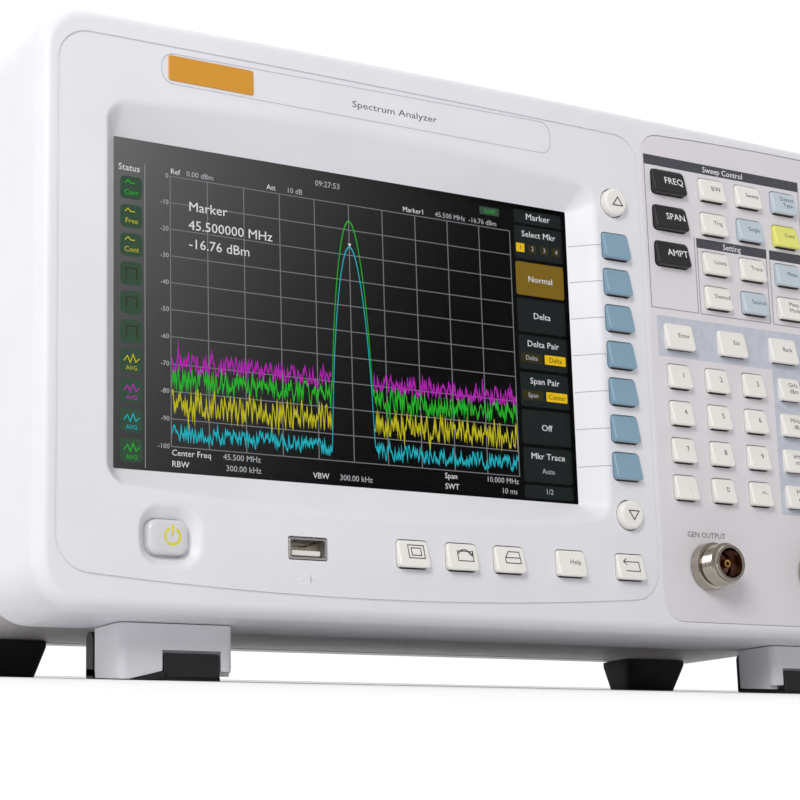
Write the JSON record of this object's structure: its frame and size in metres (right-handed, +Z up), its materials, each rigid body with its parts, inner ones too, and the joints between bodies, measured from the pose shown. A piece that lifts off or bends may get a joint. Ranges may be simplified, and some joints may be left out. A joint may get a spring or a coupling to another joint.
{
  "type": "bench spectrum analyzer",
  "caption": "Bench spectrum analyzer with a wide colour screen, a keypad, a tuning knob, coaxial sockets, folding front feet and a carry handle.",
  "frame": {"origin": "middle of the base, on the surface that the instrument stands on", "axes": "+X to the right of someone facing the screen, +Y from the screen into the case, +Z up"},
  "size_m": [0.399, 0.1876, 0.2228],
  "materials": {
    "white_plastic": "fine-textured off-white moulding",
    "pale_plastic": "fine-textured pale grey moulding",
    "cream_plastic": "satin cream key caps",
    "black_plastic": "satin black moulding",
    "blue_plastic": "satin grey-blue key caps",
    "grey_plastic": "satin grey moulding",
    "power_key_plastic": "glossy translucent key cap",
    "screen_glass": "clear window over a dark display",
    "circuit_board": "solder-masked board",
    "silicone": "matt translucent silicone",
    "plated_steel": "zinc plated",
    "nickel": "nickel plated",
    "gold_contact": "gold plated contact",
    "painted_case": "textured light grey paint",
    "shield_aluminium": "bare machined",
    "supply_module": "mixed components",
    "black_rubber": "matt black"
  },
  "bodies": {
    "case": {"front_bezel": "white_plastic", "keypad_fascia": "pale_plastic", "screen_window": "screen_glass", "lcd_panel": "black_plastic", "key_board": "circuit_board", "keypad_mat": "silicone", "knob_encoder": "plated_steel", "output_socket": "nickel", "output_contact": "gold_contact", "input_socket": "nickel", "input_contact": "gold_contact", "phones_jack": "black_plastic", "usb_host_port": "nickel", "case_cover": "painted_case", "chassis_tray": "painted_case", "rear_panel": "painted_case", "rear_frame": "white_plastic", "fan_frame": "black_plastic", "mains_inlet": "black_plastic", "reference_in_socket": "nickel", "reference_out_socket": "nickel", "lan_jack": "plated_steel", "usb_device_port": "nickel", "main_board": "circuit_board", "rf_shield": "shield_aluminium", "power_supply": "supply_module", "front_foot_left": "white_plastic", "front_foot_right": "white_plastic", "rear_foot_left": "black_rubber", "rear_foot_right": "black_rubber"},
    "softkey_1": {"softkey_1": "blue_plastic"},
    "softkey_2": {"softkey_2": "blue_plastic"},
    "softkey_3": {"softkey_3": "blue_plastic"},
    "softkey_4": {"softkey_4": "blue_plastic"},
    "softkey_5": {"softkey_5": "blue_plastic"},
    "softkey_6": {"softkey_6": "blue_plastic"},
    "softkey_7": {"softkey_7": "blue_plastic"},
    "page_up_key": {"page_up_key": "cream_plastic"},
    "page_down_key": {"page_down_key": "cream_plastic"},
    "screen_keys": {"screen_keys": "cream_plastic"},
    "help_key": {"help_key": "cream_plastic"},
    "return_key": {"return_key": "cream_plastic"},
    "power_key": {"power_key": "power_key_plastic"},
    "frequency_key": {"frequency_key": "black_plastic"},
    "span_key": {"span_key": "black_plastic"},
    "amplitude_key": {"amplitude_key": "black_plastic"},
    "arrow_left_key": {"arrow_left_key": "cream_plastic"},
    "arrow_right_key": {"arrow_right_key": "cream_plastic"},
    "sweep_keys": {"sweep_keys": "cream_plastic"},
    "setting_keys": {"setting_keys": "cream_plastic"},
    "measure_keys": {"measure_keys": "cream_plastic"},
    "marker_keys": {"marker_keys": "cream_plastic"},
    "entry_keys": {"entry_keys": "cream_plastic"},
    "digit_keys": {"digit_keys": "cream_plastic"},
    "unit_keys": {"unit_keys": "cream_plastic"},
    "fan_rotor": {"fan_rotor": "black_plastic"},
    "tilt_leg_left": {"tilt_leg_left": "black_plastic"},
    "tilt_leg_right": {"tilt_leg_right": "black_plastic"},
    "carry_handle": {"carry_handle": "grey_plastic"},
    "tuning_knob": {"tuning_knob": "grey_plastic"}
  },
  "joints": [
    {"name": "softkey_1_press", "type": "slide", "parent": "case", "child": "softkey_1", "axis": [0, 0.9956, -0.0941], "range_m": [0, 0.0012], "stiffness_N_per_m": 400},
    {"name": "softkey_2_press", "type": "slide", "parent": "case", "child": "softkey_2", "axis": [0, 0.9956, -0.0941], "range_m": [0, 0.0012], "stiffness_N_per_m": 400},
    {"name": "softkey_3_press", "type": "slide", "parent": "case", "child": "softkey_3", "axis": [0, 0.9956, -0.0941], "range_m": [0, 0.0012], "stiffness_N_per_m": 400},
    {"name": "softkey_4_press", "type": "slide", "parent": "case", "child": "softkey_4", "axis": [0, 0.9956, -0.0941], "range_m": [0, 0.0012], "stiffness_N_per_m": 400},
    {"name": "softkey_5_press", "type": "slide", "parent": "case", "child": "softkey_5", "axis": [0, 0.9956, -0.0941], "range_m": [0, 0.0012], "stiffness_N_per_m": 400},
    {"name": "softkey_6_press", "type": "slide", "parent": "case", "child": "softkey_6", "axis": [0, 0.9956, -0.0941], "range_m": [0, 0.0012], "stiffness_N_per_m": 400},
    {"name": "softkey_7_press", "type": "slide", "parent": "case", "child": "softkey_7", "axis": [0, 0.9956, -0.0941], "range_m": [0, 0.0012], "stiffness_N_per_m": 400},
    {"name": "page_up_key_press", "type": "slide", "parent": "case", "child": "page_up_key", "axis": [0, 0.9956, -0.0941], "range_m": [0, 0.0012], "stiffness_N_per_m": 400},
    {"name": "page_down_key_press", "type": "slide", "parent": "case", "child": "page_down_key", "axis": [0, 0.9956, -0.0941], "range_m": [0, 0.0012], "stiffness_N_per_m": 400},
    {"name": "screen_keys_press", "type": "slide", "parent": "case", "child": "screen_keys", "axis": [0, 0.9956, -0.0941], "range_m": [0, 0.0012], "stiffness_N_per_m": 400},
    {"name": "help_key_press", "type": "slide", "parent": "case", "child": "help_key", "axis": [0, 0.9956, -0.0941], "range_m": [0, 0.0012], "stiffness_N_per_m": 400},
    {"name": "return_key_press", "type": "slide", "parent": "case", "child": "return_key", "axis": [0, 0.9956, -0.0941], "range_m": [0, 0.0012], "stiffness_N_per_m": 400},
    {"name": "power_key_press", "type": "slide", "parent": "case", "child": "power_key", "axis": [0, 0.9956, -0.0941], "range_m": [0, 0.0012], "stiffness_N_per_m": 400},
    {"name": "frequency_key_press", "type": "slide", "parent": "case", "child": "frequency_key", "axis": [0, 0.9956, -0.0941], "range_m": [0, 0.0012], "stiffness_N_per_m": 400},
    {"name": "span_key_press", "type": "slide", "parent": "case", "child": "span_key", "axis": [0, 0.9956, -0.0941], "range_m": [0, 0.0012], "stiffness_N_per_m": 400},
    {"name": "amplitude_key_press", "type": "slide", "parent": "case", "child": "amplitude_key", "axis": [0, 0.9956, -0.0941], "range_m": [0, 0.0012], "stiffness_N_per_m": 400},
    {"name": "arrow_left_key_press", "type": "slide", "parent": "case", "child": "arrow_left_key", "axis": [0, 0.9956, -0.0941], "range_m": [0, 0.0012], "stiffness_N_per_m": 400},
    {"name": "arrow_right_key_press", "type": "slide", "parent": "case", "child": "arrow_right_key", "axis": [0, 0.9956, -0.0941], "range_m": [0, 0.0012], "stiffness_N_per_m": 400},
    {"name": "sweep_keys_press", "type": "slide", "parent": "case", "child": "sweep_keys", "axis": [0, 0.9956, -0.0941], "range_m": [0, 0.0012], "stiffness_N_per_m": 400},
    {"name": "setting_keys_press", "type": "slide", "parent": "case", "child": "setting_keys", "axis": [0, 0.9956, -0.0941], "range_m": [0, 0.0012], "stiffness_N_per_m": 400},
    {"name": "measure_keys_press", "type": "slide", "parent": "case", "child": "measure_keys", "axis": [0, 0.9956, -0.0941], "range_m": [0, 0.0012], "stiffness_N_per_m": 400},
    {"name": "marker_keys_press", "type": "slide", "parent": "case", "child": "marker_keys", "axis": [0, 0.9956, -0.0941], "range_m": [0, 0.0012], "stiffness_N_per_m": 400},
    {"name": "entry_keys_press", "type": "slide", "parent": "case", "child": "entry_keys", "axis": [0, 0.9956, -0.0941], "range_m": [0, 0.0012], "stiffness_N_per_m": 400},
    {"name": "digit_keys_press", "type": "slide", "parent": "case", "child": "digit_keys", "axis": [0, 0.9956, -0.0941], "range_m": [0, 0.0012], "stiffness_N_per_m": 400},
    {"name": "unit_keys_press", "type": "slide", "parent": "case", "child": "unit_keys", "axis": [0, 0.9956, -0.0941], "range_m": [0, 0.0012], "stiffness_N_per_m": 400},
    {"name": "fan_spin", "type": "hinge", "parent": "case", "child": "fan_rotor", "pos_m": [-0.1, 0.06195, 0.11582], "axis": [0, 0.9956, -0.0941], "continuous": true},
    {"name": "knob_turn", "type": "hinge", "parent": "case", "child": "tuning_knob", "pos_m": [0.1615, -0.08305, 0.1014], "axis": [0, 0.9956, -0.0941], "continuous": true},
    {"name": "handle_swing", "type": "hinge", "parent": "case", "child": "carry_handle", "pos_m": [0, 0.0636, 0.20767], "axis": [-1, 0, 0], "range_deg": [0, 90]},
    {"name": "tilt_leg_left_fold", "type": "hinge", "parent": "case", "child": "tilt_leg_left", "pos_m": [-0.1406, -0.03574, 0.01316], "axis": [1, 0, 0], "range_deg": [0, 90]},
    {"name": "tilt_leg_right_fold", "type": "hinge", "parent": "case", "child": "tilt_leg_right", "pos_m": [0.1406, -0.03574, 0.01316], "axis": [1, 0, 0], "range_deg": [0, 90]}
  ]
}
